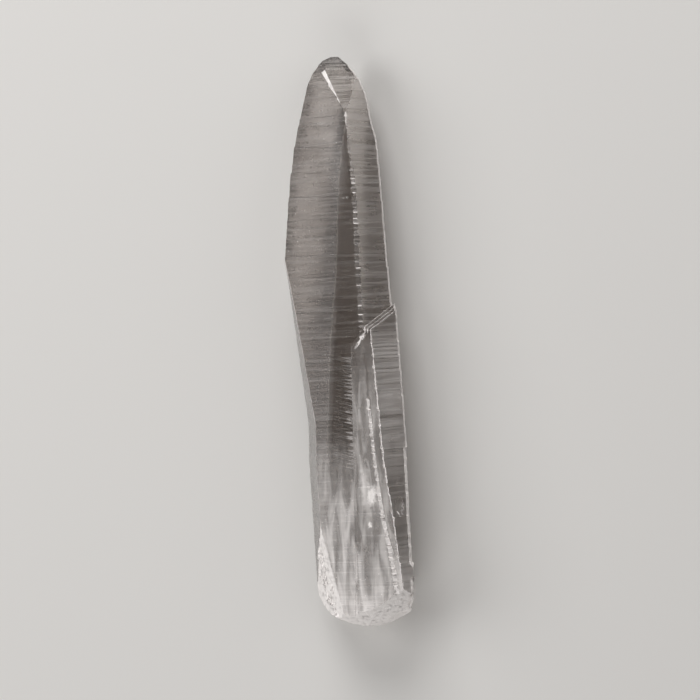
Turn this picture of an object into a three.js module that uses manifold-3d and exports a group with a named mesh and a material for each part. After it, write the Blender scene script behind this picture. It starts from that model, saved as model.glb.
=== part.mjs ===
// A lemurian quartz crystal, lying on one of its long prism faces with its point towards +Y.
// Lengths are in millimetres and +Z is up. The origin is under the middle of the crystal.
import * as THREE from 'three';
import { mergeVertices } from 'three/addons/utils/BufferGeometryUtils.js';
import Module from 'manifold-3d';

// Driving dimensions
const LENGTH = 128;
const TIP = LENGTH / 2;
const BASE = -LENGTH / 2;
const KINK = 19; // station of the widest place, where the narrow left face dies out
const SHOULDER = 4; // station where the right overgrowth ends
const SPUR_TOP = -13; // station where the front spur ends
const REST_DEPTH = 8.1; // from the long axis down to the face that it lies on
const RHOMB_TILT = 38; // degrees that a rhombohedral face leans from the prism

// The prism faces, named as seen from above with the point away from the eye:
// the turn of each outward normal about Y, in degrees from +Z towards +X.
// The stepped face is a narrow seventh one along the front edge.
const TOP = 0;
const STEPPED = 30;
const RIGHT = 60;
const LOWER_RIGHT = 120;
const REST = 180;
const LOWER_LEFT = 240;
const LEFT = 300;

// Growth ledges: the rungs that run across the prism faces
const LEDGE_PITCH = {
  [TOP]: 4.6, [STEPPED]: 1.2, [RIGHT]: 2.9, [LOWER_RIGHT]: 4.2, [LOWER_LEFT]: 4.0, [LEFT]: 4.8,
};
const LEDGE_HEIGHT = {
  [TOP]: 0.08, [STEPPED]: 0.13, [RIGHT]: 0.15, [LOWER_RIGHT]: 0.12, [LOWER_LEFT]: 0.09, [LEFT]: 0.1,
};
const LEDGE_RISER = 0.22;
const LEDGE_END = TIP - 6; // no rung is cut across the very point

const wasm = await Module();
wasm.setup();

// The same seed gives the same crystal each time
function randomSource(seed) {
  let state = seed;
  return () => {
    state = (state * 1664525 + 1013904223) % 4294967296;
    return state / 4294967296;
  };
}

// Straight-line reading of a list of [station, value] pairs that run from the base to the tip
function reading(pairs, station) {
  if (station <= pairs[0][0]) return pairs[0][1];
  for (let i = 1; i < pairs.length; i += 1) {
    const [start, low] = pairs[i - 1];
    const [end, high] = pairs[i];
    if (station <= end) return THREE.MathUtils.mapLinear(station, start, end, low, high);
  }
  return pairs[pairs.length - 1][1];
}

// Saw-toothed ledges: a face swells slowly towards the tip and drops back at each rung
function ledges(pitch, height, from, to, seed) {
  const random = randomSource(seed);
  const pairs = [[from, 0]];
  let station = from + pitch * (0.3 + random());
  while (station < to - LEDGE_RISER) {
    pairs.push([station, height * (0.4 + random())]);
    pairs.push([station + LEDGE_RISER, 0]);
    station += LEDGE_RISER + pitch * (0.35 + 1.3 * random());
  }
  pairs.push([to, 0]);
  return pairs;
}

// A growth is a stack of six- or seven-sided rings. Each face keeps its own direction, so between
// two stations it is one flat plane, and its distance from the axis says how far it has grown.
class Growth {
  constructor(profiles, { from = BASE, to = TIP, seed = 0, rungs = [] } = {}) {
    this.faces = Object.keys(profiles).map(Number).sort((a, b) => a - b);
    this.profiles = profiles;
    this.from = from;
    this.to = to;
    this.ledges = {};
    for (const face of rungs) {
      const end = Math.min(to, LEDGE_END);
      this.ledges[face] = ledges(LEDGE_PITCH[face], LEDGE_HEIGHT[face], from, end, seed + face);
    }
  }

  // Distance of a face from the axis at a station
  distance(face, station) {
    const rung = this.ledges[face] ? reading(this.ledges[face], station) : 0;
    return reading(this.profiles[face], station) + rung;
  }

  // Where two faces meet in the plane of a ring
  meeting(faceA, faceB, station) {
    const a = THREE.MathUtils.degToRad(faceA);
    const b = THREE.MathUtils.degToRad(faceB);
    const distanceA = this.distance(faceA, station);
    const distanceB = this.distance(faceB, station);
    const spread = Math.sin(a) * Math.cos(b) - Math.cos(a) * Math.sin(b);
    const x = (distanceA * Math.cos(b) - distanceB * Math.cos(a)) / spread;
    const z = (distanceB * Math.sin(a) - distanceA * Math.sin(b)) / spread;
    return new THREE.Vector3(x, station, z);
  }

  // The corners of a ring. A face that its neighbours have overgrown has no width.
  ring(station) {
    const count = this.faces.length;
    const corners = [];
    for (let i = 0; i < count; i += 1) {
      corners.push(this.meeting(this.faces[i], this.faces[(i + 1) % count], station));
    }
    for (let i = 0; i < count; i += 1) {
      const face = this.faces[i];
      const before = this.faces[(i + count - 1) % count];
      const after = this.faces[(i + 1) % count];
      const angle = THREE.MathUtils.degToRad(face);
      const over = this.meeting(before, after, station);
      if (over.x * Math.sin(angle) + over.z * Math.cos(angle) < this.distance(face, station)) {
        corners[(i + count - 1) % count] = over;
        corners[i] = over.clone();
      }
    }
    return corners;
  }

  // Every station where some face changes its slope
  stations() {
    const all = [this.from, this.to];
    for (const face of this.faces) {
      for (const [station] of this.profiles[face]) all.push(station);
      for (const [station] of this.ledges[face] ?? []) all.push(station);
    }
    const inside = all.filter((station) => station >= this.from && station <= this.to);
    inside.sort((a, b) => a - b);
    return inside.filter((station, i) => i === 0 || station - inside[i - 1] > 0.03);
  }

  // The closed body, its ends capped flat
  body() {
    const rings = this.stations().map((station) => this.ring(station));
    const count = this.faces.length;
    const positions = rings.flat().flatMap((corner) => corner.toArray());
    const index = [];
    for (let level = 0; level + 1 < rings.length; level += 1) {
      for (let i = 0; i < count; i += 1) {
        const a = level * count + i;
        const b = level * count + ((i + 1) % count);
        index.push(a, b, a + count, b, b + count, a + count);
      }
    }
    const top = (rings.length - 1) * count;
    for (let i = 1; i + 1 < count; i += 1) {
      index.push(0, i + 1, i);
      index.push(top, top + i, top + i + 1);
    }
    const geometry = new THREE.BufferGeometry();
    geometry.setAttribute('position', new THREE.Float32BufferAttribute(positions, 3));
    geometry.setIndex(index);
    return solid(geometry);
  }
}

// Drop triangles that have no area once shared corners are merged
function withoutSlivers(geometry) {
  const kept = [];
  const { array } = geometry.index;
  for (let i = 0; i < array.length; i += 3) {
    const [a, b, c] = [array[i], array[i + 1], array[i + 2]];
    if (a !== b && b !== c && c !== a) kept.push(a, b, c);
  }
  geometry.setIndex(kept);
  return geometry;
}

function solid(geometry) {
  geometry.deleteAttribute('normal');
  geometry.deleteAttribute('uv');
  const merged = withoutSlivers(mergeVertices(geometry, 1e-3));
  return new wasm.Manifold(new wasm.Mesh({
    numProp: 3,
    vertProperties: new Float32Array(merged.attributes.position.array),
    triVerts: new Uint32Array(merged.index.array),
  }));
}

function geometryOf(body) {
  const mesh = body.getMesh();
  const geometry = new THREE.BufferGeometry();
  geometry.setAttribute('position', new THREE.BufferAttribute(mesh.vertProperties, 3));
  geometry.setIndex(new THREE.BufferAttribute(mesh.triVerts, 1));
  return geometry;
}

// A big block on the outer side of a plane, which takes away all that stands proud of it
function beyond(point, normal) {
  const block = new THREE.BoxGeometry(LENGTH, LENGTH, LENGTH);
  block.translate(0, 0, LENGTH / 2);
  const turn = new THREE.Quaternion();
  turn.setFromUnitVectors(new THREE.Vector3(0, 0, 1), normal.clone().normalize());
  block.applyQuaternion(turn);
  block.translate(point.x, point.y, point.z);
  return solid(block);
}

// The outward direction of a face: its turn about Y and its lift towards the tip, in degrees
function facing(turn, lift) {
  const a = THREE.MathUtils.degToRad(turn);
  const b = THREE.MathUtils.degToRad(lift);
  return new THREE.Vector3(Math.sin(a) * Math.cos(b), Math.sin(b), Math.cos(a) * Math.cos(b));
}

// The main crystal: steep tapering prism faces and a small blunt point
function shaft() {
  return new Growth({
    [TOP]: [[BASE, 7.9], [0, 7.45], [KINK, 7.15], [27, 6.75], [36, 6.2], [44, 5.9], [49.5, 5.5],
      [60.2, 3.4], [62, 2.1], [TIP, 0.8]],
    [STEPPED]: [[BASE, 9.3], [0, 8.95], [9, 8.85], [KINK, 8.6], [27, 8.3], [36, 7.75], [44, 7.2],
      [50, 6.85], [TIP, 4]],
    [RIGHT]: [[BASE, 8.7], [9, 8.5], [27, 8.1], [36, 7.6], [44, 6.8], [49.5, 6.2], [55, 5.4],
      [58.4, 4.7], [60.2, 3.8], [62, 2.6], [TIP, 1.2]],
    [LOWER_RIGHT]: [[BASE, 9.0], [0, 9.6], [9, 9.2], [KINK, 8.75], [36, 8.45], [44, 8.3], [49.5, 7.2],
      [55, 6.6], [58.4, 5.3], [60.2, 4.3], [62, 2.7], [TIP, 1.2]],
    [REST]: [[BASE, REST_DEPTH], [46, REST_DEPTH], [55, 7.4], [58.4, 6.2], [60.2, 5.0], [62, 3.4], [TIP, 1.6]],
    [LOWER_LEFT]: [[BASE, 10.2], [-27, 10.8], [-18, 10.3], [0, 8.8], [9, 7.6], [KINK, 6.5], [36, 5.3],
      [44, 4.2], [49.5, 3.2], [58.4, 2.4], [62, 1.6], [TIP, 0.8]],
    [LEFT]: [[BASE, 9.4], [-27, 9.7], [-18, 9.4], [0, 11.4], [KINK, 13.7], [30, 13.9], [44, 10.6],
      [55, 8.2], [TIP, 3.0]],
  }, { seed: 11, rungs: [TOP, STEPPED, RIGHT, LOWER_RIGHT, LOWER_LEFT, LEFT] });
}

// The point carries a downward triangle on its front edge, with a thin bevel along its left side
// and a small steeper facet above it
function pointFacets() {
  const apex = new THREE.Vector3(4.0, 50.2, 5.5);
  const bevelLeft = new THREE.Vector3(-1.9, 60.2, 3.4);
  const bevelRight = new THREE.Vector3(-0.9, 60.2, 3.12);
  const bevel = new THREE.Plane().setFromCoplanarPoints(apex, bevelLeft, bevelRight).normal;
  if (bevel.z < 0) bevel.negate();
  const brow = new THREE.Vector3(1.0, 61.4, 1.45);
  return beyond(apex, facing(29, 24))
    .add(beyond(apex, bevel))
    .add(beyond(brow, facing(28, 42)));
}

// Terraces of the overgrowth that thickens the right side of the lower half.
// Each lower terrace stands a little prouder and ends a little nearer the base.
function shoulders() {
  const terraces = 3;
  const rise = 0.62; // how much prouder each terrace stands on the right face
  const step = 1.25; // how much lower each one ends
  const slant = new THREE.Vector3(-1.25, 1, -0.1);
  let body;
  for (let i = 0; i < terraces; i += 1) {
    const short = rise * (terraces - 1 - i);
    const lift = 0.12 * i;
    const terrace = new Growth({
      [TOP]: [[BASE, 8.2 + lift], [SHOULDER, 7.65 + lift]],
      [RIGHT]: [[BASE, 15.4 - short], [-38.5, 13.3 - short], [-27, 12 - short], [SHOULDER, 10.6 - short]],
      [LOWER_RIGHT]: [[BASE, 9.1], [-38.5, 9.6], [-23, 10.2], [SHOULDER, 9.9]],
      [REST]: [[BASE, 6.6 - i], [SHOULDER, 6.2 - i]],
      [LOWER_LEFT]: [[BASE, 1], [SHOULDER, 1]],
      [LEFT]: [[BASE, 3.6], [-25, 2.0], [SHOULDER, 1.1]],
    }, { to: SHOULDER + 12, seed: 31 + i, rungs: i + 1 === terraces ? [RIGHT, LOWER_RIGHT] : [] });
    const corner = new THREE.Vector3(7.3, SHOULDER - i * step, 7.8);
    const grown = terrace.body().subtract(beyond(corner, slant));
    body = body ? body.add(grown) : grown;
  }
  return body;
}

// A slender crystal grown along the front of the lower half, its right edge drifting outwards
function spur() {
  const grown = new Growth({
    [TOP]: [[BASE, 9.0], [SPUR_TOP, 8.3]],
    [STEPPED]: [[BASE, 13.35], [-47, 12.3], [-39, 11.5], [-27, 10.8], [SPUR_TOP, 10.25]],
    [RIGHT]: [[BASE, 14.7], [-47, 13.0], [-39, 11.7], [-27, 10.6], [SPUR_TOP, 9.9]],
    [LOWER_RIGHT]: [[BASE, 6], [SPUR_TOP, 5]],
    [REST]: [[BASE, 2], [SPUR_TOP, 2]],
    [LOWER_LEFT]: [[BASE, 0], [SPUR_TOP, 0]],
    [LEFT]: [[BASE, 3.2], [-25, 1.6], [SPUR_TOP, 0.4]],
  }, { to: SPUR_TOP + 4, seed: 57, rungs: [TOP, STEPPED] });
  const peak = new THREE.Vector3(6.2, SPUR_TOP, 8.3);
  return grown.body()
    .subtract(beyond(peak, facing(LEFT, RHOMB_TILT)))
    .subtract(beyond(peak, facing(RIGHT, RHOMB_TILT)));
}

// A closed knobbly ball, reaching as far from its centre as the vector says
function knobbly(centre, reach, detail, share) {
  const ball = new THREE.IcosahedronGeometry(1, detail);
  const position = ball.attributes.position;
  const point = new THREE.Vector3();
  for (let i = 0; i < position.count; i += 1) {
    point.fromBufferAttribute(position, i);
    const wave = Math.sin(9 * point.x + 1) + Math.sin(8 * point.y + 2) + Math.sin(7 * point.z + 4 * point.x);
    point.multiplyScalar(1 + share * wave).multiply(reach).add(centre);
    position.setXYZ(i, point.x, point.y, point.z);
  }
  return solid(ball);
}

// The left edge near the base is worn to one broad frosted face, which widens downwards
function wornLeft() {
  return beyond(new THREE.Vector3(-3.4, -55, 7.9), facing(313, -9));
}

// Low knobs scattered over that worn face, most of each sunk below it
function knobs() {
  const random = randomSource(83);
  const top = new THREE.Vector3(-4.4, -46.1, 8.85);
  const along = new THREE.Vector3(0.114, -0.988, -0.107).normalize(); // down the worn face
  const across = facing(223, 0); // from its front edge to its side edge
  const inward = facing(313, -9).negate();
  const count = 12;
  const spread = 16; // length of the knobbly stretch
  const margin = 2; // from the front edge to the first knobs
  const width = 6; // how far across the face the knobs lie
  const smallest = 1;
  const largest = 2.1;
  const sunk = 0.68; // share of a knob's radius that its middle lies below the face
  const stretch = 1.3; // how much longer a knob is than wide
  let body;
  for (let i = 0; i < count; i += 1) {
    const size = THREE.MathUtils.lerp(smallest, largest, random());
    const centre = top.clone()
      .addScaledVector(along, (spread * (i + random())) / count)
      .addScaledVector(across, margin + width * random())
      .addScaledVector(inward, size * sunk);
    const knob = knobbly(centre, new THREE.Vector3(size, size * stretch, size), 3, 0.05);
    body = body ? body.add(knob) : knob;
  }
  return body;
}

// Shell-shaped breaks: the middle of each hollow, and how far it reaches along X, Y and Z
const BASE_BREAKS = [
  { middle: [12.6, BASE - 2.4, 5.5], reach: [6.4, 6.6, 9.5] },
  { middle: [8.0, BASE - 1.6, -9.5], reach: [6, 6, 6.5] },
  { middle: [-9.5, BASE - 1.5, -5.5], reach: [6.5, 7.5, 6] },
  { middle: [-1.0, BASE - 3.8, -8.5], reach: [6.5, 7.4, 5.5] },
];
// A chip knocked out of the right face, and a smaller one out of its edge below
const SIDE_CHIPS = [
  { middle: [14.0, -36.6, 7.0], reach: [3.0, 4.3, 2.4] },
  { middle: [14.6, -52, 3.2], reach: [2.4, 3.4, 2.2] },
];

// The hollow that a smooth curved fracture leaves
function scallop({ middle, reach }) {
  const hollow = new THREE.SphereGeometry(1, 18, 12);
  hollow.rotateX(Math.PI / 2);
  hollow.scale(...reach);
  hollow.translate(...middle);
  return solid(hollow);
}

// The crystal was broken off its root: the end bulges, with shell-shaped breaks beside the bulge
function brokenBase() {
  const bulge = new THREE.Vector3(17, 18, 12.5);
  const start = BASE + bulge.y;
  const below = beyond(new THREE.Vector3(0, start, 0), new THREE.Vector3(0, -1, 0));
  const whole = below.subtract(knobbly(new THREE.Vector3(1.5, start, 1), bulge, 9, 0.006));
  return BASE_BREAKS.reduce((broken, hollow) => broken.add(scallop(hollow)), whole);
}

const grown = shaft().body()
  .subtract(pointFacets())
  .add(shoulders())
  .add(spur())
  .subtract(wornLeft())
  .add(knobs())
  .subtract(brokenBase());
const body = SIDE_CHIPS.reduce((left, chip) => left.subtract(scallop(chip)), grown);

const quartz = new THREE.MeshStandardMaterial({ color: 0xb9aca6, roughness: 0.18, metalness: 0 });
const geometry = geometryOf(body);
geometry.computeBoundingBox();
const { min, max } = geometry.boundingBox;
geometry.translate(-(min.x + max.x) / 2, -(min.y + max.y) / 2, -min.z);
geometry.computeVertexNormals();
const crystal = new THREE.Mesh(geometry, quartz);
crystal.name = 'crystal';

const group = new THREE.Group();
group.add(crystal);

export default group;
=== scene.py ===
"""A long lemurian quartz crystal lying on one of its prism faces, seen from above.

The crystal is clear quartz. Its prism faces carry growth rungs like a ladder, its broken base is
frosted, its edges are bruised white, and healed fractures glint inside its lower half.
"""

import logging
import math
from dataclasses import dataclass, fields
from enum import Enum
from random import Random

import bmesh
import bpy
from mathutils import Matrix, Vector, noise
from mathutils.bvhtree import BVHTree


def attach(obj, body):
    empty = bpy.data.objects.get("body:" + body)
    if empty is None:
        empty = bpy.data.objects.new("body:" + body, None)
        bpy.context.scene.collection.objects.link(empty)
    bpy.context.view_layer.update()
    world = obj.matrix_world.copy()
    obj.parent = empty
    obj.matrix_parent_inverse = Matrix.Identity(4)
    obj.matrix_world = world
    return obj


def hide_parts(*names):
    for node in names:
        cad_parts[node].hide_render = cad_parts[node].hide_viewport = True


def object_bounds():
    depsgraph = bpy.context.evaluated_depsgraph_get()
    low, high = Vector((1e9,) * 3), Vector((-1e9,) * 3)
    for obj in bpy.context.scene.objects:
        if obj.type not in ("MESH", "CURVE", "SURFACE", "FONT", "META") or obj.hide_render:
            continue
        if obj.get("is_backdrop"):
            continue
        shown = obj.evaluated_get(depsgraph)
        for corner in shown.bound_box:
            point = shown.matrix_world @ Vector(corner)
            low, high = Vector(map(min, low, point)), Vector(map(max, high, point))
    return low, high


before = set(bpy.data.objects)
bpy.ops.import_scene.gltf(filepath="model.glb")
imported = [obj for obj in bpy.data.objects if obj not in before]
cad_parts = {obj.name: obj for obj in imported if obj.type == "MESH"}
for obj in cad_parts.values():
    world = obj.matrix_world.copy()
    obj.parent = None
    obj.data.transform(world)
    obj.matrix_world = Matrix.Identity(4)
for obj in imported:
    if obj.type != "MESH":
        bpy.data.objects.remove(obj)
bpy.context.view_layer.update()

log = logging.getLogger("crystal")
MM = 0.001
IOR_OF_QUARTZ = 1.544
# Stations of the long edges, in millimetres from the middle: their wear changes at the waist
BASE_END = -60.0
WAIST = -24.0
POINT_END = 64.0
# A prism face's normal isn't steeper along Y than this, and its turn is this near, as a cosine
STEEPEST_RISER = 0.75
SAME_TURN = 0.97


def linear(hex_colour: str) -> tuple[float, float, float, float]:
    """Turn an sRGB hex colour into the linear colour that a shader takes.

    Args:
        hex_colour: Six hex digits, such as "c8beb9".

    Returns:
        Linear red, green and blue, with an alpha of 1.
    """
    def channel(value: float) -> float:
        """Linear value of one sRGB channel."""
        return value / 12.92 if value <= 0.04045 else ((value + 0.055) / 1.055) ** 2.4

    red, green, blue = (int(hex_colour[i:i + 2], 16) / 255 for i in (0, 2, 4))
    return channel(red), channel(green), channel(blue), 1.0


def add_node(tree: bpy.types.NodeTree, kind: str, settings: dict | None = None,
             links: dict | None = None) -> bpy.types.Node:
    """Add a shader node with its settings and links.

    Args:
        tree: The node tree to add to.
        kind: The node's type, without the ShaderNode prefix.
        settings: Properties of the node, and socket values by socket name or number.
        links: Output sockets to link, by the name or number of the socket they go to.

    Returns:
        The new node.
    """
    node = tree.nodes.new(f"ShaderNode{kind}")
    for key, value in (settings or {}).items():
        if isinstance(key, str) and hasattr(node, key):
            setattr(node, key, value)
        else:
            node.inputs[key].default_value = value
    for key, source in (links or {}).items():
        tree.links.new(source, node.inputs[key])
    return node


def add_piece(name: str, mesh: bmesh.types.BMesh, material: bpy.types.Material) -> bpy.types.Object:
    """Turn a finished mesh into an object of the scene.

    Args:
        name: The object's name.
        mesh: Its mesh, in metres, which is freed.
        material: Its one material.

    Returns:
        The new object, at the origin.
    """
    data = bpy.data.meshes.new(name)
    mesh.to_mesh(data)
    mesh.free()
    data.materials.append(material)
    piece = bpy.data.objects.new(name, data)
    bpy.context.scene.collection.objects.link(piece)
    return piece


def slice_faces(mesh: bmesh.types.BMesh, faces: list[bmesh.types.BMFace], place: Vector,
                normal: Vector, close: float = 1e-7) -> None:
    """Cut some faces of a mesh along a plane.

    Args:
        mesh: The mesh, changed in place.
        faces: The faces to cut.
        place: A point of the plane, in metres.
        normal: The plane's normal.
        close: How near to the plane a corner counts as lying on it, in metres.
    """
    # In the order of the faces, not in the chance order of a set
    edges = dict.fromkeys(edge for face in faces for edge in face.edges)
    verts = dict.fromkeys(vert for face in faces for vert in face.verts)
    bmesh.ops.bisect_plane(mesh, geom=[*verts, *edges, *faces], dist=close, plane_co=place,
                           plane_no=normal)


class Face(Enum):
    """The prism faces, by the turn of their normals about Y, in degrees from +Z towards +X."""

    TOP = 0
    STEPPED = 30
    RIGHT = 60
    LOWER_RIGHT = 120
    REST = 180
    LOWER_LEFT = 240
    LEFT = 300

    def normal(self) -> Vector:
        """Direction that the face looks in."""
        turn = math.radians(self.value)
        return Vector((math.sin(turn), 0, math.cos(turn)))

    @staticmethod
    def of(normal: Vector) -> "Face | None":
        """Name the prism face that a normal belongs to, also on the riser of a ledge.

        Args:
            normal: The outward normal of some face of the mesh.

        Returns:
            The prism face, or None at the point, the broken base and the terraces' ends.
        """
        if abs(normal.y) > STEEPEST_RISER:
            return None
        level = Vector((normal.x, 0, normal.z)).normalized()
        for face in Face:
            if face.normal().dot(level) > SAME_TURN:
                return face
        return None


@dataclass(frozen=True)
class Facet:
    """A facet that is no prism face, known by the direction it looks in."""

    normal: tuple[float, float, float]
    least_cosine: float

    def holds(self, normal: Vector) -> bool:
        """Whether a face with this normal is part of the facet."""
        return normal.dot(Vector(self.normal)) > self.least_cosine


# The sliver of a bevel and the triangle beside it at the point, and the worn face by the base
BEVEL = Facet((0.254, 0.340, 0.906), least_cosine=0.995)
TRIANGLE = Facet((0.443, 0.407, 0.799), least_cosine=0.93)
WORN = Facet((-0.722, -0.156, 0.674), least_cosine=0.99)


@dataclass(frozen=True)
class Finish:
    """How one kind of surface takes the light.

    Each value goes onto the mesh as a layer of its own, which the quartz material reads: how matt
    the surface is, its white frost, how deep its growth rungs, its grain and its slow waves show,
    its white wisps, and its finely lined white haze.
    """

    roughness: float
    frost: float
    rungs: float
    grain: float
    waves: float
    milk: float = 0.0
    haze: float = 0.0


class Surface(Enum):
    """The kinds of surface on the crystal, from polished prism faces to worn and broken places."""

    GLASSY = Finish(roughness=0.03, frost=0.0, rungs=0.1, grain=0.0, waves=0.1)
    FRONT = Finish(roughness=0.12, frost=0.0, rungs=0.3, grain=0.05, waves=0.3, milk=1.0)
    SATIN = Finish(roughness=0.34, frost=0.0, rungs=1.0, grain=0.1, waves=0.4, milk=0.3)
    BACK = Finish(roughness=0.18, frost=0.05, rungs=0.3, grain=0.1, waves=0.3, milk=0.2)
    SIDE = Finish(roughness=0.14, frost=0.12, rungs=0.6, grain=0.1, waves=0.2, milk=0.2)
    POINT = Finish(roughness=0.30, frost=0.12, rungs=0.6, grain=0.2, waves=0.2)
    LADDER = Finish(roughness=0.03, frost=0.0, rungs=1.5, grain=0.0, waves=0.0)
    STEPS = Finish(roughness=0.04, frost=0.08, rungs=1.5, grain=0.8, waves=0.1, milk=0.3)
    TERRACE = Finish(roughness=0.35, frost=0.6, rungs=0.3, grain=0.3, waves=0.0)
    # White frost of bruised and chipped places; on the bevel's sliver at the point and on the
    # terraces' upper edges it is a painted highlight
    BRUISED = Finish(roughness=0.5, frost=1.4, rungs=0.0, grain=0.8, waves=0.0)
    SCORED = Finish(roughness=0.3, frost=0.1, rungs=0.0, grain=0.1, waves=0.3, milk=1.0)
    FROSTED = Finish(roughness=0.6, frost=1.55, rungs=0.0, grain=1.0, waves=0.3)

    @property
    def number(self) -> int:
        """The number that marks this kind on the mesh's faces."""
        return KINDS.index(self)


KINDS = list(Surface)
LAYERS = [value.name for value in fields(Finish)]
BY_FACE = {
    Face.TOP: Surface.FRONT, Face.STEPPED: Surface.STEPS, Face.RIGHT: Surface.SATIN,
    Face.LOWER_RIGHT: Surface.SATIN, Face.REST: Surface.GLASSY, Face.LOWER_LEFT: Surface.BACK,
    Face.LEFT: Surface.SIDE,
}
# The deepest rung on each prism face, in millimetres; the face it lies on is left flat
RUNG_DEPTH = {
    Face.TOP: 0.02, Face.STEPPED: 0.18, Face.RIGHT: 0.09, Face.LOWER_RIGHT: 0.04,
    Face.LOWER_LEFT: 0.015, Face.LEFT: 0.03, Face.REST: 0.0,
}


@dataclass(frozen=True)
class Blunting:
    """How far, and how white, an edge between two prism faces is worn, in millimetres."""

    first: Face
    second: Face
    width: float
    surface: Surface
    segments: int = 1
    start: float = BASE_END
    stop: float = POINT_END


BLUNTED = (
    Blunting(Face.RIGHT, Face.LOWER_RIGHT, 0.6, Surface.BRUISED, segments=3, start=WAIST),
    Blunting(Face.RIGHT, Face.LOWER_RIGHT, 1.1, Surface.BRUISED, segments=3, stop=WAIST),
    Blunting(Face.TOP, Face.LEFT, 0.12, Surface.TERRACE),
    Blunting(Face.LOWER_LEFT, Face.LEFT, 0.12, Surface.TERRACE),
    Blunting(Face.TOP, Face.RIGHT, 0.12, Surface.BRUISED),
    Blunting(Face.REST, Face.LOWER_RIGHT, 0.15, Surface.TERRACE),
)


@dataclass(frozen=True)
class WhiteSpot:
    """A white spot just under the surface, in millimetres: most are the white of small cracks, some
    also a painted highlight, and one a painted sheen.
    """

    middle: tuple[float, float, float]
    half_width: float
    half_length: float
    turn_deg: float
    white: float
    half_depth: float = 3.0


WHITE_SPOTS = (
    # The first three: white cracks in the frosted place above the base, whitened further by a
    # painted highlight running down it
    WhiteSpot(middle=(5.3, -34.4, 16.5), half_width=1.1, half_length=2.8, turn_deg=-12, white=0.6),
    WhiteSpot(middle=(4.5, -40.8, 16.5), half_width=0.7, half_length=0.7, turn_deg=0, white=0.6),
    WhiteSpot(middle=(3.9, -33.1, 16.4), half_width=1.4, half_length=8.0, turn_deg=3, white=0.3),
    WhiteSpot(middle=(4.3, -0.1, 15.6), half_width=0.4, half_length=2.6, turn_deg=-38, white=0.9),
    # Painted sheen: a faint white cloud over the upper part of the front face
    WhiteSpot(middle=(-0.5, 44.0, 15.5), half_width=4.0, half_length=16.0, turn_deg=5, white=0.1),
)


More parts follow.
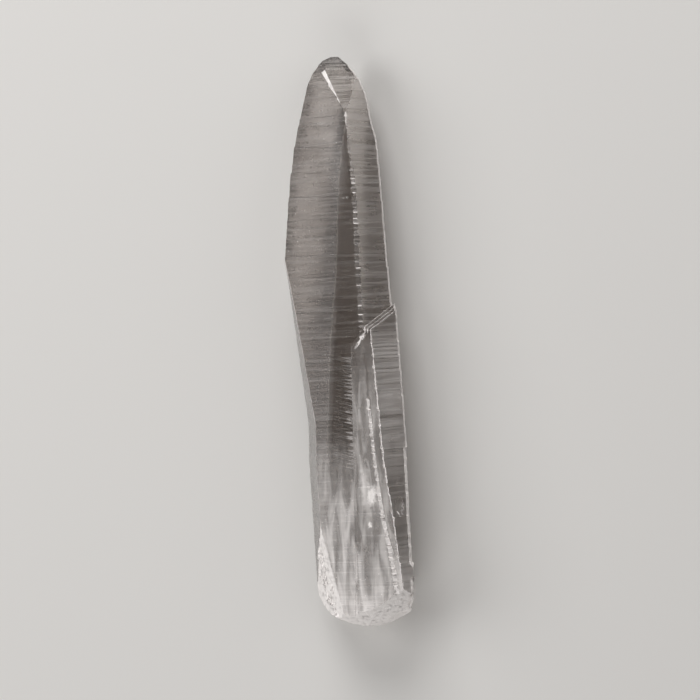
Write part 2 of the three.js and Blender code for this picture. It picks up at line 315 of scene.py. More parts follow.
@dataclass(frozen=True)
class Quartz:
    """Clear quartz: light passes through it, bends, and comes back off the far faces.

    The faint warm grey that it takes up over a centimetre gives the thick places their body. Fine
    lines across the prism faces glint like a ladder, and frosted places scatter white; part of that
    white is painted light, as painted glints on the etched lines and specks, and painted highlight
    and sheen in some white spots and haze. The growth lines are drawn coarser than the finest real
    ones, which are too fine to show.
    """

    name: str = "lemurian_quartz"
    white: str = "f8f3f0"
    absorbed: str = "a5998f"
    density_per_m: float = 42.0
    rung_mm: float = 0.6
    rung_run_mm: float = 14.0
    rung_bump_mm: float = 0.05
    grain_mm: float = 0.35
    grain_bump_mm: float = 0.09
    cloud_mm: float = 5.0
    wave_bump_mm: float = 0.5
    chip_mm: float = 0.9
    ragged_mm: float = 2.4
    streak_mm: float = 1.8
    streak_run_mm: float = 10.0
    glint_pitch_mm: float = 1.3
    glint_white: float = 0.4
    etch_and_glint: float = 0.15

    def material(self) -> bpy.types.Material:
        """Build the node material."""
        material = bpy.data.materials.new(self.name)
        material.use_nodes = True
        tree = material.node_tree
        tree.nodes.clear()
        layer = {name: add_node(tree, "Attribute", {"attribute_name": name}).outputs["Fac"]
                 for name in LAYERS}
        place = add_node(tree, "TexCoord").outputs["Object"]
        lines = self.growth_lines(tree, place)
        clouds = add_node(tree, "TexNoise", {"Scale": 1 / (self.cloud_mm * MM), "Detail": 5.0},
                          {"Vector": place}).outputs["Fac"]
        white = self.whiteness(tree, place, lines, layer)
        clear = add_node(tree, "Math", {"operation": "SUBTRACT", "use_clamp": True, 0: 1.0},
                         {1: white})
        shader = add_node(tree, "BsdfPrincipled", {
            "Base Color": linear(self.white),
            "IOR": IOR_OF_QUARTZ,
        }, {
            "Roughness": self.gloss(tree, lines, clouds, layer),
            "Transmission Weight": clear.outputs[0],
            "Normal": self.relief(tree, place, lines, clouds, layer),
        })
        body = add_node(tree, "VolumeAbsorption", {
            "Color": linear(self.absorbed),
            "Density": self.density_per_m,
        })
        add_node(tree, "OutputMaterial", links={"Surface": shader.outputs["BSDF"],
                                                "Volume": body.outputs["Volume"]})
        return material

    def growth_lines(self, tree: bpy.types.NodeTree,
                     place: bpy.types.NodeSocket) -> bpy.types.NodeSocket:
        """Growth lines that run across the crystal: long along X and Z, close together along Y.

        Args:
            tree: The material's node tree.
            place: The place on the crystal.

        Returns:
            The lines' strength, about 0.5 on the whole.
        """
        scale = (self.rung_run_mm * MM, self.rung_mm * MM, self.rung_run_mm * MM)
        across = add_node(tree, "Mapping", {"vector_type": "TEXTURE", "Scale": scale},
                          {"Vector": place})
        lines = add_node(tree, "TexNoise", {"Scale": 1.0, "Detail": 4.0, "Roughness": 0.6},
                         {"Vector": across.outputs["Vector"]})
        return lines.outputs["Fac"]

    def relief(self, tree: bpy.types.NodeTree, place: bpy.types.NodeSocket,
               lines: bpy.types.NodeSocket, clouds: bpy.types.NodeSocket,
               layer: dict[str, bpy.types.NodeSocket]) -> bpy.types.NodeSocket:
        """Rungs, grains and slow waves that bend the light at the surface.

        Args:
            tree: The material's node tree.
            place: The place on the crystal.
            lines: The growth lines.
            clouds: The slow clouds.
            layer: Each layer of the mesh by its name.

        Returns:
            The bumped normal.
        """
        grains = add_node(tree, "TexNoise", {"Scale": 1 / (self.grain_mm * MM), "Detail": 3.0},
                          {"Vector": place})
        ladder = add_node(tree, "Bump", {"Distance": self.rung_bump_mm * MM},
                          {"Height": lines, "Strength": layer["rungs"]})
        granular = add_node(tree, "Bump", {"Distance": self.grain_bump_mm * MM},
                            {"Height": grains.outputs["Fac"], "Strength": layer["grain"],
                             "Normal": ladder.outputs["Normal"]})
        wavy = add_node(tree, "Bump", {"Distance": self.wave_bump_mm * MM},
                        {"Height": clouds, "Strength": layer["waves"],
                         "Normal": granular.outputs["Normal"]})
        return wavy.outputs["Normal"]

    @staticmethod
    def gloss(tree: bpy.types.NodeTree, lines: bpy.types.NodeSocket, clouds: bpy.types.NodeSocket,
              layer: dict[str, bpy.types.NodeSocket]) -> bpy.types.NodeSocket:
        """Roughness that wanders by half its value, in soft clouds and along the growth lines.

        Args:
            tree: The material's node tree.
            lines: The growth lines.
            clouds: The slow clouds.
            layer: Each layer of the mesh by its name.

        Returns:
            The roughness.
        """
        both = add_node(tree, "Math", {"operation": "ADD"}, {0: clouds, 1: lines})
        wander = add_node(tree, "MapRange", {
            "From Min": 0.7, "From Max": 1.3, "To Min": 0.5, "To Max": 1.5,
        }, {"Value": both.outputs[0]})
        rough = add_node(tree, "Math", {"operation": "MULTIPLY"},
                         {0: layer["roughness"], 1: wander.outputs["Result"]})
        return rough.outputs[0]

    def whiteness(self, tree: bpy.types.NodeTree, place: bpy.types.NodeSocket,
                  lines: bpy.types.NodeSocket,
                  layer: dict[str, bpy.types.NodeSocket]) -> bpy.types.NodeSocket:
        """Share of the light scattered white by frost, wisps, haze, white spots, etching and
        specks; part of this white is painted light: glints on the specks and etched lines, and
        highlight and sheen in some spots and the haze.

        Args:
            tree: The material's node tree.
            place: The place on the crystal.
            lines: The growth lines.
            layer: Each layer of the mesh by its name.

        Returns:
            The share, which may pass 1 where the surface is wholly white.
        """
        # Frost comes in chips, so a bruised edge is a broken white line
        chips = add_node(tree, "TexNoise", {
            "Scale": 1 / (self.chip_mm * MM), "Detail": 6.0, "Roughness": 0.65,
        }, {"Vector": place})
        broken = add_node(tree, "MapRange", {
            "From Min": 0.36, "From Max": 0.6, "To Min": 0.3, "To Max": 1.0,
        }, {"Value": chips.outputs["Fac"]})
        frost = add_node(tree, "Math", {"operation": "MULTIPLY"},
                         {0: layer["frost"], 1: broken.outputs["Result"]})
        milk = add_node(tree, "Math", {"operation": "MULTIPLY_ADD"},
                        {0: layer["milk"], 1: self.wisps(tree, place), 2: frost.outputs[0]})
        # Satin haze is finely lined across the crystal
        lined = add_node(tree, "MapRange", {
            "From Min": 0.38, "From Max": 0.62, "To Min": 0.75, "To Max": 1.25,
        }, {"Value": lines})
        hazy = add_node(tree, "Math", {"operation": "MULTIPLY_ADD"},
                        {0: layer["haze"], 1: lined.outputs["Result"], 2: milk.outputs[0]})
        with_white_spots = self.with_white_spots(tree, place, chips.outputs["Color"], hazy.outputs[0])
        # The growth lines are etched: each carries a little white frost of its own, which also
        # paints their glints, a painted highlight
        ridged = add_node(tree, "MapRange", {
            "From Min": 0.48, "From Max": 0.58, "To Min": 0.0, "To Max": self.etch_and_glint,
        }, {"Value": lines})
        etch_and_glint = add_node(tree, "Math", {"operation": "MULTIPLY_ADD"},
                          {0: ridged.outputs["Result"], 1: layer["rungs"], 2: with_white_spots})
        # Painted glints: tiny white specks stand in for the sparkle of small pits
        glint_cells = add_node(tree, "TexVoronoi", {"Scale": 1 / (self.glint_pitch_mm * MM)},
                        {"Vector": place})
        painted_glints = add_node(tree, "MapRange", {
            "From Min": 0.05, "From Max": 0.1, "To Min": self.glint_white, "To Max": 0.0,
        }, {"Value": glint_cells.outputs["Distance"]})
        scattered = add_node(tree, "Math", {"operation": "ADD"},
                             {0: etch_and_glint.outputs[0], 1: painted_glints.outputs["Result"]})
        return scattered.outputs[0]

    def wisps(self, tree: bpy.types.NodeTree,
              place: bpy.types.NodeSocket) -> bpy.types.NodeSocket:
        """Wisps of milkiness that run lengthwise.

        Args:
            tree: The material's node tree.
            place: The place on the crystal.

        Returns:
            How milky the place is, from 0.3 between the wisps to 1.
        """
        scale = (self.streak_mm * MM, self.streak_run_mm * MM, self.streak_mm * MM)
        lengthwise = add_node(tree, "Mapping", {"vector_type": "TEXTURE", "Scale": scale},
                              {"Vector": place})
        wisps = add_node(tree, "TexNoise", {
            "Scale": 1.0, "Detail": 4.0, "Roughness": 0.5, "Distortion": 0.8,
        }, {"Vector": lengthwise.outputs["Vector"]})
        wispy = add_node(tree, "MapRange", {
            "interpolation_type": "SMOOTHSTEP", "From Min": 0.3, "From Max": 0.75, "To Min": 0.3,
        }, {"Value": wisps.outputs["Fac"]})
        return wispy.outputs["Result"]

    def with_white_spots(self, tree: bpy.types.NodeTree, place: bpy.types.NodeSocket,
                chips: bpy.types.NodeSocket, white: bpy.types.NodeSocket) -> bpy.types.NodeSocket:
        """Add white spots with ragged borders just under the surface: the white of small cracks,
        with painted highlight and painted sheen in some of them.

        Args:
            tree: The material's node tree.
            place: The place on the crystal.
            chips: The chips' colour, which makes the borders ragged.
            white: The white that the spots add to.

        Returns:
            The white with the spots.
        """
        ragged = add_node(tree, "VectorMath",
                          {"operation": "MULTIPLY_ADD", 1: (self.ragged_mm * MM,) * 3},
                          {0: chips, 2: place})
        for white_spot in WHITE_SPOTS:
            half_sizes = (white_spot.half_width, white_spot.half_length, white_spot.half_depth)
            spot = add_node(tree, "Mapping", {
                "vector_type": "TEXTURE",
                "Location": [(value + self.ragged_mm / 2) * MM for value in white_spot.middle],
                "Rotation": (0, 0, math.radians(white_spot.turn_deg)),
                "Scale": [value * MM for value in half_sizes],
            }, {"Vector": ragged.outputs["Vector"]})
            ball = add_node(tree, "TexGradient", {"gradient_type": "SPHERICAL"},
                            {"Vector": spot.outputs["Vector"]})
            whiter = add_node(tree, "MapRange", {
                "From Min": 0.0, "From Max": 0.6, "To Min": 0.0, "To Max": white_spot.white,
            }, {"Value": ball.outputs["Fac"]})
            white = add_node(tree, "Math", {"operation": "ADD"},
                             {0: white, 1: whiter.outputs["Result"]}).outputs[0]
        return white


@dataclass(frozen=True)
class Profile:
    """A value along the crystal, given at a few stations in millimetres from the middle."""

    points: tuple[tuple[float, float], ...]

    def at(self, station: float) -> float:
        """Read the value at a station, on a straight line between the given ones.

        Args:
            station: Millimetres from the crystal's middle, towards the point.

        Returns:
            The value, which stays at the first or last one beyond the given stations.
        """
        low, value = self.points[0]
        for high, following in self.points[1:]:
            if station < high:
                share = max(0.0, station - low) / (high - low)
                return value + (following - value) * share
            low, value = high, following
        return value


# How milky the quartz is along the crystal, and how strong the haze on its satin places
SHAFT_MILK = Profile(((-60, 0.75), (-42, 0.7), (-36, 0.6), (-20, 0.01)))
OVERGROWTH_MILK = Profile(((-60, 0.75), (-42, 0.5), (-16, 0.5), (2, 0.03)))
BASE_HAZE = Profile(((-62, 0.3), (-56, 0.1), (-46, 0.0)))
# Left of the satin's border the front face's haze is partly the satin's own and partly a painted
# sheen
LEFT_HAZE_AND_SHEEN = Profile(((-60, 0.1), (-48, 0.12), (-10, 0.12), (10, 0.08), (64, 0.06)))
RIGHT_HAZE = Profile(((-60, 0.1), (-50, 0.1), (-42, 0.0), (-31, 0.0), (-26, 0.16), (-3, 0.26),
                      (4, 0.03)))


@dataclass
class Crystal:
    """The one grown piece: its ledges, rungs, edges and broken places.

    Lengths and stations along the crystal are in millimetres, and stations count from its middle.
    """

    node: str = "crystal"
    name: str = "quartz_crystal"
    seed: int = 7
    # A direction along which no two places of the crystal lie level
    skew: tuple[float, float, float] = (0.513, 1.0, 0.271)
    # Corners this close are one corner, and faces that meet this flat are one face
    weld: float = 0.002
    flat_deg: float = 0.5
    # Where each kind of surface lies
    frosted_top: float = -38.0
    broken_lean: float = 0.3
    hollow_lean: float = 0.05
    hollow_lift: float = 0.1
    point_start: float = 48.0
    tip_start: float = 58.0
    shoulder: tuple[float, float] = (-8.0, 16.0)
    shoulder_lean: float = 0.4
    spur_top: float = -13.0
    spur_ridge: float = 16.0
    worn_riser_lean: float = 0.3
    worn_per_mm: float = 1.7
    worn_above: float = 0.15
    # Worn edges
    sharp_deg: float = 17.0
    lengthwise: float = 0.5
    left_edges: float = -4.0
    terrace_ends: tuple[float, float] = (-6.0, 14.0)
    terrace_edge: float = 0.14
    # Growth rungs
    rung_span: tuple[float, float] = (-55.0, 59.0)
    rung_pitch: float = 0.75
    rung_spacing: tuple[float, float] = (0.35, 1.65)
    riser: float = 0.1
    mostly_shallow: float = 1.5
    point_steps_start: float = 50.0
    point_step: float = 0.4
    least_spread: float = 0.4
    # The border of the satin on the front, and the scored window right of it
    border_middle: float = -1.4
    border_slope: float = 0.094
    border_fade: float = 1.6
    window_right: float = 1.7
    window_top: float = 4.0
    score_span: tuple[float, float] = (-27.0, -3.0)
    score_slant_deg: float = 17.0
    score_pitch: float = 0.6
    score_width: float = 0.12
    score_spacing: tuple[float, float] = (0.5, 1.5)
    score_reach: float = 6.0
    # Grains and pits of the broken places
    grain_pitch: float = 0.6
    grain_depth: float = 0.16
    swell: float = 0.6
    swells_per_grain: float = 0.45
    pit: float = 0.7
    pits_per_grain: float = 0.35
    pit_steepness: float = 2.2
    # How milkiness and haze change a finish
    milk_hides_rungs: float = 0.7
    roughest: float = 0.7
    overgrowth_left: float = -0.6
    hazy_lean: float = 0.2

    def build(self) -> bpy.types.Object:
        """Model the crystal around its CAD solid.

        Returns:
            The finished object, which stands for the CAD node.
        """
        mesh = bmesh.new()
        mesh.from_mesh(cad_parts[self.node].data)
        bmesh.ops.remove_doubles(mesh, verts=mesh.verts, dist=self.weld * MM)
        bmesh.ops.dissolve_limit(mesh, angle_limit=math.radians(self.flat_deg), verts=mesh.verts,
                                 edges=mesh.edges)
        kind = mesh.faces.layers.int.new("kind")
        self.mark_surfaces(mesh, kind)
        self.wear_and_highlight_edges(mesh, kind)
        self.border_satin(mesh, kind)
        self.cut_rungs(mesh)
        self.score_window(mesh, kind)
        self.roughen(mesh, kind)
        # The cuts leave the mesh in a chance order: sorted along a skew line, it repeats exactly
        skew = Vector(self.skew)
        mesh.verts.sort(key=lambda vert: vert.co.dot(skew))
        mesh.faces.sort(key=lambda face: face.calc_center_median().dot(skew))
        self.paint_layers(mesh, kind)
        return add_piece(self.name, mesh, Quartz().material())

    def mark_surfaces(self, mesh: bmesh.types.BMesh, kind: bmesh.types.BMLayerItem) -> None:
        """Note on every face which kind of surface it is.

        Args:
            mesh: The crystal's mesh, changed in place.
            kind: The layer that takes the kind.
        """
        mesh.normal_update()
        for face in mesh.faces:
            face[kind] = self.surface_at(face.calc_center_median() / MM, face.normal).number

    def surface_at(self, middle: Vector, normal: Vector) -> Surface:
        """The kind of surface at a place.

        Args:
            middle: The middle of a face, in millimetres.
            normal: Its outward normal.

        Returns:
            The kind of surface.
        """
        prism = Face.of(normal)
        hollow = prism is None and (normal.y < -self.hollow_lean or normal.z > self.hollow_lift)
        broken = normal.y < -self.broken_lean or WORN.holds(normal) or hollow
        if middle.y < self.frosted_top and broken:
            return Surface.FROSTED
        at_point = middle.y > self.point_start
        # The bevel's sliver at the point gets the bruised white frost as a painted highlight
        if at_point and BEVEL.holds(normal):
            return Surface.BRUISED
        if at_point and TRIANGLE.holds(normal) and prism is Face.STEPPED:
            return Surface.LADDER
        if middle.y > self.tip_start and prism is not Face.TOP:
            return Surface.POINT
        low, high = self.shoulder
        if prism is None and normal.y > self.shoulder_lean and low < middle.y < high:
            return Surface.TERRACE
        spur_ridge = middle.z > self.spur_ridge and middle.y < self.spur_top
        worn_riser = (abs(normal.y) > self.worn_riser_lean
                      and noise.noise(middle * self.worn_per_mm) > self.worn_above)
        if prism is Face.STEPPED and (spur_ridge or worn_riser):
            return Surface.BRUISED
        return BY_FACE.get(prism, Surface.SATIN)

    def wear_and_highlight_edges(self, mesh: bmesh.types.BMesh, kind: bmesh.types.BMLayerItem) -> None:
        """Blunt the long edges, each as wide and as white as wear has left it, and whiten the
        terraces' upper edges, partly as a painted highlight.

        Args:
            mesh: The crystal's mesh, changed in place.
            kind: The layer that holds the kind of surface.
        """
        for blunting in BLUNTED:
            mesh.normal_update()
            edges = [edge for edge in mesh.edges if self.takes_blunting(edge, blunting)]
            self.blunt(mesh, kind, edges, blunting.width, blunting.segments, blunting.surface)
        # The terraces' upper edges are worn and given the bruised white frost, which is partly a
        # painted highlight where light catches them
        ends = [edge for edge in mesh.edges if self.ends_a_terrace(edge)]
        self.blunt(mesh, kind, ends, self.terrace_edge, 1, Surface.BRUISED)

    @staticmethod
    def blunt(mesh: bmesh.types.BMesh, kind: bmesh.types.BMLayerItem,
              edges: list[bmesh.types.BMEdge], width: float, segments: int,
              surface: Surface) -> None:
        """Wear some edges down and mark the worn strips.

        Args:
            mesh: The crystal's mesh, changed in place.
            kind: The layer that holds the kind of surface.
            edges: The edges to wear.
            width: How far the wear reaches onto each side, in millimetres.
            segments: How many flat strips round the edge.
            surface: The kind of surface that the wear leaves.
        """
        made = bmesh.ops.bevel(mesh, geom=edges, offset=width * MM, segments=segments, profile=0.5,
                               affect="EDGES", material=-1, clamp_overlap=False)
        for face in made["faces"]:
            face[kind] = surface.number

    def is_sharp(self, edge: bmesh.types.BMEdge) -> bool:
        """Whether an edge stands out between its two faces."""
        return (len(edge.link_faces) == 2
                and edge.calc_face_angle() >= math.radians(self.sharp_deg))

    def takes_blunting(self, edge: bmesh.types.BMEdge, blunting: Blunting) -> bool:
        """Whether an edge is one of those that a blunting wears.

        Args:
            edge: An edge of the crystal's mesh.
            blunting: The faces and the stretch that the blunting is for.

        Returns:
            True for a sharp lengthwise edge between the two faces and on the stretch.
        """
        if not self.is_sharp(edge):
            return False
        start, stop = (vert.co / MM for vert in edge.verts)
        lengthwise = abs((stop - start).normalized().y) > self.lengthwise
        # The spur and the overgrowth have left faces of their own, whose edges stay sharp
        inner = blunting.second is Face.LEFT and start.x > self.left_edges
        between = blunting.start <= (start.y + stop.y) / 2 < blunting.stop
        faces = {Face.of(face.normal) for face in edge.link_faces}
        return faces == {blunting.first, blunting.second} and lengthwise and between and not inner

    def ends_a_terrace(self, edge: bmesh.types.BMEdge) -> bool:
        """Whether an edge bounds the upper end of one of the shoulder's terraces.

        Args:
            edge: An edge of the crystal's mesh.

        Returns:
            True for the edges on the right face that light catches.
        """
        low, high = self.terrace_ends
        if not self.is_sharp(edge) or not edge.is_convex:
            return False
        if not low * MM < edge.verts[0].co.y < high * MM:
            return False
        return {Face.of(face.normal) for face in edge.link_faces} == {Face.RIGHT, None}

    def satin_border(self, station: float) -> float:
        """X of the border between the satin left and the glassy band, at a station."""
        return self.border_middle + self.border_slope * station

    def border_satin(self, mesh: bmesh.types.BMesh, kind: bmesh.types.BMLayerItem) -> None:
        """Cut the top face along the satin's border and along its full strength.

        Args:
            mesh: The crystal's mesh, changed in place.
            kind: The layer that holds the kind of surface.
        """
        across = Vector((1, -self.border_slope, 0)).normalized()
        for reach in (0.0, self.border_fade):
            faces = [face for face in mesh.faces if face[kind] == Surface.FRONT.number]
            slice_faces(mesh, faces, Vector((self.border_middle - reach, 0, 0)) * MM, across)

    def cut_rungs(self, mesh: bmesh.types.BMesh) -> None:
        """Cut the fine growth rungs, each a slow swell towards the tip and a quick drop.

        Args:
            mesh: The crystal's mesh, changed in place.
        """
        random = Random(self.seed)
        drops: dict[float, dict[Face, float]] = {}
        station, last = self.rung_span
        while station < last:
            depth = dict(RUNG_DEPTH)
            if station > self.point_steps_start:
                depth[Face.STEPPED] = self.point_step
            foot = round(station, 4)
            head = round(station + self.riser, 4)
            drops[foot] = dict.fromkeys(depth, 0.0)
            drops[head] = {face: -deepest * random.random() ** self.mostly_shallow * MM
                           for face, deepest in depth.items()}
            station += self.rung_pitch * random.uniform(*self.rung_spacing)
        for place in drops:
            bmesh.ops.bisect_plane(mesh, geom=[*mesh.verts, *mesh.edges, *mesh.faces], dist=1e-7,
                                   plane_co=(0, place * MM, 0), plane_no=(0, 1, 0))
        mesh.normal_update()
        moves = {}
        for vert in mesh.verts:
            at = drops.get(round(vert.co.y / MM, 4))
            faces = {Face.of(face.normal) for face in vert.link_faces} - {None} if at else None
            if faces:
                moves[vert] = self.sink(faces, at)
        for vert, move in moves.items():
            vert.co += move

    def sink(self, faces: set[Face], at: dict[Face, float]) -> Vector:
        """The move that sinks a corner by each face's drop.

        Args:
            faces: The prism faces that meet at the corner.
            at: How far each face moves outwards at this station, in metres.

        Returns:
            The corner's move.
        """
        ordered = sorted(faces, key=lambda face: face.value)
        first, second = ordered[0], ordered[-1]
        a, b = first.normal(), second.normal()
        if first is second:
            return a * at[first]
        spread = a.x * b.z - a.z * b.x
        if abs(spread) < self.least_spread:
            return Vector()
        x = (at[first] * b.z - at[second] * a.z) / spread
        z = (at[second] * a.x - at[first] * b.x) / spread
        return Vector((x, 0, z))

    def score_window(self, mesh: bmesh.types.BMesh, kind: bmesh.types.BMLayerItem) -> None:
        """Score fine slanting lines into the glassy window between the satin and the overgrowth.

        Args:
            mesh: The crystal's mesh, changed in place.
            kind: The layer that holds the kind of surface.
        """
        random = Random(self.seed + 1)
        slant = math.radians(self.score_slant_deg)
        across = Vector((math.sin(slant), math.cos(slant), 0))
        station, last = self.score_span
        scores = []
        while station < last:
            width = self.score_width * random.uniform(*self.score_spacing)
            scores.append((station, station + width))
            station += self.score_pitch * random.uniform(*self.score_spacing)
        for side in (side for score in scores for side in score):
            near = [face for face in mesh.faces if self.in_window(face, kind)
                    and abs(face.calc_center_median().y / MM - side) < self.score_reach]
            slice_faces(mesh, near, across * side * MM, across)
        for face in mesh.faces:
            place = face.calc_center_median().dot(across) / MM
            if self.in_window(face, kind) and any(start < place < end for start, end in scores):
                face[kind] = Surface.SCORED.number

    def in_window(self, face: bmesh.types.BMFace, kind: bmesh.types.BMLayerItem) -> bool:
        """Whether a face lies in the glassy window below the band.

        Args:
            face: A face of the crystal's mesh.
            kind: The layer that holds the kind of surface.

        Returns:
            True for the faces between the satin's border and the overgrowth.
        """
        if face[kind] != Surface.FRONT.number:
            return False
        middle = face.calc_center_median() / MM
        within = self.satin_border(middle.y) < middle.x < self.window_right
        return within and middle.y < self.window_top

    def roughen(self, mesh: bmesh.types.BMesh, kind: bmesh.types.BMLayerItem) -> None:
        """Break the frosted and bruised places into grains and small pits.

        Args:
            mesh: The crystal's mesh, changed in place.
            kind: The layer that holds the kind of surface.
        """
        rough = {Surface.FROSTED.number, Surface.BRUISED.number}
        pitch = self.grain_pitch * MM
        for axis in (Vector((1, 0, 0)), Vector((0, 1, 0)), Vector((0, 0, 1))):
            reach = [vert.co.dot(axis) for face in mesh.faces if face[kind] in rough
                     for vert in face.verts]
            start = min(reach)
            for i in range(int((max(reach) - start) / pitch)):
                crossed = [face for face in mesh.faces if face[kind] in rough]
                slice_faces(mesh, crossed, axis * (start + (i + 0.5) * pitch), axis, close=1e-6)
        mesh.normal_update()
        moves = {}
        for vert in mesh.verts:
            if not all(face[kind] in rough for face in vert.link_faces):
                continue
            place = vert.co / pitch
            # A slow swell of four octaves, and pits that are deepest in their middles
            swell = 0.5 + 0.5 * noise.fractal(place * self.swells_per_grain, 0.7, 2.0, 4)
            from_pit = noise.voronoi(place * self.pits_per_grain)[0][0]
            pit = max(0.0, 1.0 - self.pit_steepness * from_pit)
            depth = (self.swell * swell + self.pit * pit) * self.grain_depth * MM
            moves[vert] = -vert.normal * depth
        for vert, move in moves.items():
            vert.co += move

    def paint_layers(self, mesh: bmesh.types.BMesh, kind: bmesh.types.BMLayerItem) -> None:
        """Write each finish onto the mesh, one layer for each of its values.

        Args:
            mesh: The crystal's mesh, changed in place.
            kind: The layer that holds the kind of surface.
        """
        layers = {name: mesh.loops.layers.float.new(name) for name in LAYERS}
        for face in mesh.faces:
            face.smooth = False
            surface = KINDS[face[kind]]
            overgrowth = min(vert.co.x for vert in face.verts) > self.overgrowth_left * MM
            milkiness = OVERGROWTH_MILK if overgrowth else SHAFT_MILK
            for corner in face.loops:
                place = corner.vert.co / MM
                values = self.finish_at(place, surface, face.normal, milkiness.at(place.y))
                for name, layer in layers.items():
                    corner[layer] = values[name]

    def finish_at(self, place: Vector, surface: Surface, normal: Vector,
                  milk: float) -> dict[str, float]:
        """The values of a finish at one corner, with the milkiness and haze of that place.

        Args:
            place: The corner's place, in millimetres.
            surface: The kind of surface.
            normal: The face's outward normal.
            milk: How milky the crystal is at this station.

        Returns:
            The value of each layer by its name.
        """
        values = dict(vars(surface.value))
        values["milk"] *= milk
        values["rungs"] *= 1 - self.milk_hides_rungs * milk
        values["roughness"] = min(values["roughness"] * (1 + milk), self.roughest)
        if surface in (Surface.FRONT, Surface.STEPS, Surface.SATIN, Surface.SCORED):
            values["haze"] = BASE_HAZE.at(place.y)
        if surface is Surface.FRONT:
            # Left of the border the haze is partly a painted sheen
            inside = (self.satin_border(place.y) - place.x) / self.border_fade
            values["haze"] += LEFT_HAZE_AND_SHEEN.at(place.y) * max(0.0, min(1.0, inside))
        if surface is Surface.SATIN and abs(normal.y) < self.hazy_lean:
            values["haze"] += RIGHT_HAZE.at(place.y)
        return values


@dataclass(frozen=True)
class Veil:
    """A healed fracture: a wispy sheet of tiny bright flakes inside the quartz, in millimetres."""

    seed: int
    start: tuple[float, float, float]
    end: tuple[float, float, float]
    width: float
    bow: float
    flakes: int
    flake: float
    turn_deg: float
    # The sheet: how it spreads, waves and leaves gaps
    spread: float = 0.33
    waviness: float = 0.15
    gaps_per_mm: float = 0.9
    gap_below: float = -0.15
    # A flake: its sides and its depth as shares of its size, and its tilt in radians
    smallest: float = 0.35
    oblong: tuple[float, float] = (0.6, 1.6)
    thinness: float = 0.16
    clearance: float = 0.8
    tilt: float = 0.25

    def scatter(self, mesh: bmesh.types.BMesh, skin: BVHTree) -> None:
        """Add the veil's flakes to a mesh.

        Args:
            mesh: The veil's mesh, changed in place.
            skin: The crystal's surface, which every flake stays well inside.
        """
        random = Random(self.seed)
        start, end = Vector(self.start), Vector(self.end)
        along = (end - start).normalized()
        about = Matrix.Rotation(math.radians(self.turn_deg), 3, along)
        across = about @ along.orthogonal().normalized()
        facing = along.cross(across)
        turn = Matrix((across, along, facing)).transposed().to_4x4()
        for _ in range(self.flakes):
            share = random.random()
            side = random.gauss(0, self.spread) * self.width
            place = start.lerp(end, share) + across * side
            arch = self.bow * 4 * share * (1 - share)
            place += facing * (arch + self.waviness * noise.noise(place))
            if noise.noise(place * self.gaps_per_mm) < self.gap_below:
                continue
            size = self.flake * (self.smallest + random.random() ** 2)
            nearest, outwards, *_ = skin.find_nearest(place * MM)
            if (nearest - place * MM).dot(outwards) < self.clearance * size * MM:
                continue
            tilt = (Matrix.Rotation(random.gauss(0, self.tilt), 4, across)
                    @ Matrix.Rotation(random.gauss(0, self.tilt), 4, along))
            length = size * random.uniform(*self.oblong)
            sides = Vector((size, length, size * self.thinness)) * MM
            spot = Matrix.Translation(place * MM) @ tilt @ turn @ Matrix.Diagonal((*sides, 1))
            bmesh.ops.create_icosphere(mesh, subdivisions=1, radius=0.5, matrix=spot)


# From the shoulder down to the base
VEILS = (
    Veil(seed=1, start=(3.3, -1.8, 15.4), end=(6.1, 1.3, 15.5), width=0.4, bow=0.3, flakes=120,
         flake=0.35, turn_deg=90),
    Veil(seed=2, start=(-0.6, -6.4, 14.0), end=(1.9, -7.9, 14.2), width=0.3, bow=0.3, flakes=60,
         flake=0.25, turn_deg=60),
    Veil(seed=3, start=(3.6, -26, 15.6), end=(3.9, -39, 15.6), width=1.2, bow=0.1, flakes=200,
         flake=0.3, turn_deg=90),
    Veil(seed=4, start=(4.6, -32.5, 15.4), end=(6.2, -36.2, 15.4), width=1.5, bow=0.1, flakes=260,
         flake=0.4, turn_deg=90),
    Veil(seed=5, start=(-5.4, -27.5, 13.0), end=(-3.4, -34.5, 13.0), width=0.8, bow=0.8, flakes=120,
         flake=0.25, turn_deg=45),
    Veil(seed=8, start=(8.9, -39.8, 10.0), end=(10.6, -43.2, 10.0), width=0.4, bow=0.6, flakes=80,
         flake=0.25, turn_deg=30),
    Veil(seed=6, start=(0.0, -45, 12.0), end=(4.0, -58, 11.0), width=9.0, bow=1.5, flakes=500,
         flake=0.5, turn_deg=15),
    Veil(seed=7, start=(-3.0, -52, 13.0), end=(10.0, -57, 12.0), width=5.0, bow=1.5, flakes=400,
         flake=0.5, turn_deg=75),
)


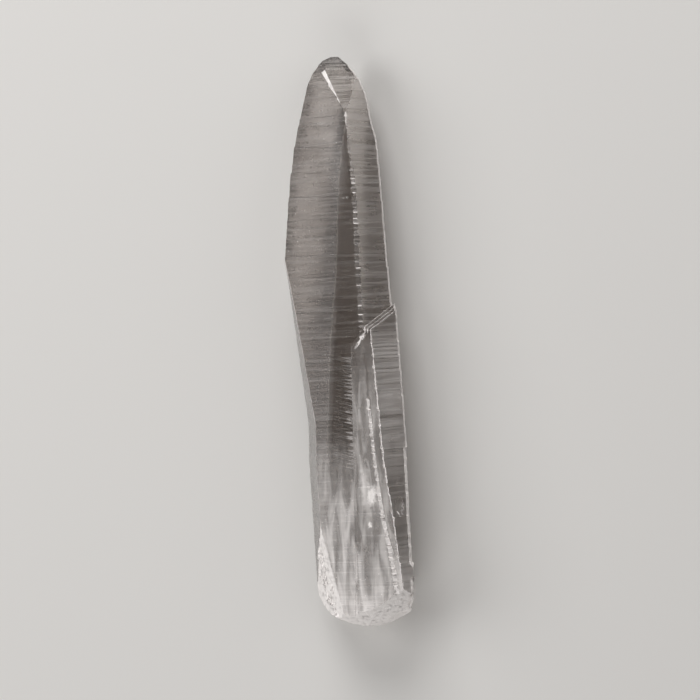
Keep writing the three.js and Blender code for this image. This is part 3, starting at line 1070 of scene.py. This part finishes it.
@dataclass
class HealedFractures:
    """The veils, blobs and slivers inside the lower half of the crystal."""

    name: str = "healed_fractures"
    white: str = "f6f2ef"
    patch_mm: float = 0.8

    def build(self, crystal: bpy.types.Object) -> bpy.types.Object:
        """Scatter every veil and give them their white.

        Args:
            crystal: The finished crystal that they lie in.

        Returns:
            The finished object.
        """
        mesh = bmesh.new()
        mesh.from_mesh(crystal.data)
        skin = BVHTree.FromBMesh(mesh)
        mesh.clear()
        for veil in VEILS:
            # A veil starts in a mesh of its own, because adding to a small one is quicker
            part = bmesh.new()
            veil.scatter(part, skin)
            data = bpy.data.meshes.new("veil")
            part.to_mesh(data)
            part.free()
            mesh.from_mesh(data)
            bpy.data.meshes.remove(data)
        return add_piece(self.name, mesh, self.material())

    def material(self) -> bpy.types.Material:
        """Fluid-filled flakes: bright white specks that glint where they catch the light."""
        material = bpy.data.materials.new("healed_fracture_white")
        material.use_nodes = True
        tree = material.node_tree
        tree.nodes.clear()
        place = add_node(tree, "TexCoord").outputs["Object"]
        patches = add_node(tree, "TexNoise", {"Scale": 1 / (self.patch_mm * MM), "Detail": 3.0},
                           {"Vector": place})
        rough = add_node(tree, "MapRange", {"To Min": 0.15, "To Max": 0.6},
                         {"Value": patches.outputs["Fac"]})
        shader = add_node(tree, "BsdfPrincipled", {"Base Color": linear(self.white)},
                          {"Roughness": rough.outputs["Result"]})
        add_node(tree, "OutputMaterial", links={"Surface": shader.outputs["BSDF"]})
        return material


@dataclass(frozen=True)
class SoftBox:
    """A square soft light that looks at the crystal, in metres and watts."""

    name: str
    place: tuple[float, float, float]
    power: float
    side: float = 0.5

    def hang(self) -> None:
        """Hang the light, unseen through the crystal."""
        data = bpy.data.lights.new(self.name, "AREA")
        data.shape = "SQUARE"
        data.size = self.side
        data.energy = self.power
        light = bpy.data.objects.new(self.name, data)
        light.visible_transmission = False
        light.location = self.place
        light.rotation_euler = Vector(self.place).to_track_quat("Z", "Y").to_euler()
        bpy.context.scene.collection.objects.link(light)


SOFT_BOXES = (
    SoftBox("key", place=(0.0, 0.7, 0.45), power=5.0),
    SoftBox("left", place=(-0.55, 0.1, 0.5), power=2.4),
    SoftBox("right", place=(0.6, 0.1, 0.45), power=0.8),
    SoftBox("front", place=(-0.1, -0.7, 0.4), power=2.2),
)


@dataclass
class Studio:
    """A pale floor, soft lights and the camera at the photograph's angle."""

    floor_m: float = 6.0
    floor_gap_mm: float = 0.1
    floor_grey: str = "d9d7d4"
    floor_roughness: float = 0.9
    room_grey: str = "8f8a88"
    room_strength: float = 0.28
    lens_mm: float = 100.0
    sensor_mm: float = 36.0
    clip_m: tuple[float, float] = (0.01, 20.0)
    frame_width_mm: float = 157.3
    aim_left_mm: float = 0.7
    aim_down_mm: float = 2.2
    turn_deg: float = 20.0
    lean_deg: float = 3.27
    bounces: int = 24

    def build(self) -> None:
        """Make the floor, the camera and the lights."""
        self.floor()
        self.camera()
        self.lights()

    def floor(self) -> None:
        """Lay a floor of matt paper, which softly takes the shadow and the light of the crystal."""
        # It lies a hair below the crystal, so that the two never coincide
        below = Matrix.Translation((0, 0, -self.floor_gap_mm * MM))
        mesh = bmesh.new()
        bmesh.ops.create_grid(mesh, x_segments=1, y_segments=1, size=self.floor_m / 2, matrix=below)
        material = bpy.data.materials.new("matt_paper")
        material.use_nodes = True
        shader = material.node_tree.nodes["Principled BSDF"]
        shader.inputs["Base Color"].default_value = linear(self.floor_grey)
        shader.inputs["Roughness"].default_value = self.floor_roughness
        add_piece("floor", mesh, material)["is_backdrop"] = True

    def camera(self) -> None:
        """Look down on the crystal, turned about its long axis as in the photograph."""
        data = bpy.data.cameras.new("camera")
        data.lens = self.lens_mm
        data.sensor_width = self.sensor_mm
        data.clip_start, data.clip_end = self.clip_m
        turn = math.radians(self.turn_deg)
        lean = math.radians(self.lean_deg)
        back = Vector((math.sin(turn), 0, math.cos(turn)))
        side = Vector((0, 1, 0)).cross(back)
        up = Vector((0, 1, 0)) * math.cos(lean) + side * math.sin(lean)
        right = up.cross(back)
        low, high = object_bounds()
        aim = (low + high) / 2 - right * self.aim_left_mm * MM - up * self.aim_down_mm * MM
        distance = self.lens_mm * self.frame_width_mm / self.sensor_mm * MM
        placed = Matrix((right, up, back)).transposed().to_4x4()
        placed.translation = aim + back * distance
        camera = bpy.data.objects.new("camera", data)
        camera.matrix_world = placed
        bpy.context.scene.collection.objects.link(camera)
        bpy.context.scene.camera = camera

    def lights(self) -> None:
        """Hang soft boxes to the left, right, front and behind, in a dim room."""
        for box in SOFT_BOXES:
            box.hang()
        world = bpy.data.worlds.new("room")
        world.use_nodes = True
        background = world.node_tree.nodes["Background"]
        background.inputs["Color"].default_value = linear(self.room_grey)
        background.inputs["Strength"].default_value = self.room_strength
        scene = bpy.context.scene
        scene.world = world
        # Light that has passed through the crystal is what shows its inside
        scene.cycles.caustics_refractive = True
        scene.cycles.caustics_reflective = True
        scene.cycles.max_bounces = self.bounces
        scene.cycles.transmission_bounces = self.bounces
        scene.view_settings.view_transform = "Standard"


def main() -> None:
    """Build the crystal and its studio, and report each piece."""
    logging.basicConfig(level=logging.INFO, format="%(message)s")
    crystal = Crystal().build()
    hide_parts("crystal")
    fractures = HealedFractures().build(crystal)
    for piece in (crystal, fractures):
        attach(piece, "root")
        log.info("%s: %d faces", piece.name, len(piece.data.polygons))
    Studio().build()


if __name__ == "__main__":
    main()
